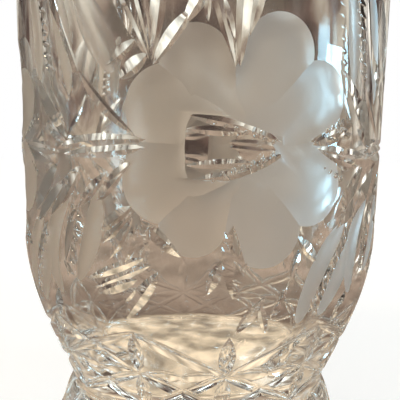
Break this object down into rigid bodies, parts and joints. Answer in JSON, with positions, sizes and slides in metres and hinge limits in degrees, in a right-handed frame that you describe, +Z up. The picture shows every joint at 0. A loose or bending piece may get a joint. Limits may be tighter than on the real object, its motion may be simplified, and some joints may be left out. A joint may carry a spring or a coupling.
{
  "type": "mixing glass",
  "caption": "Heavy cut-crystal mixing glass with a tapered bowl, satin-cut flowers and leaves, a pouring lip and a fused foot.",
  "frame": {"origin": "middle of the ground underside of the foot", "axes": "+Z up along the axis of the bowl, +X towards the pouring lip, -Y towards the front flower"},
  "size_m": [0.105, 0.0966, 0.15],
  "materials": {
    "bowl_crystal": "clear polished crystal with mitre cuts and satin-frosted flowers and leaves",
    "foot_crystal": "clear polished crystal with cut flutes and a ground underside"
  },
  "bodies": {
    "root": {"bowl": "bowl_crystal", "foot": "foot_crystal"}
  },
  "joints": []
}
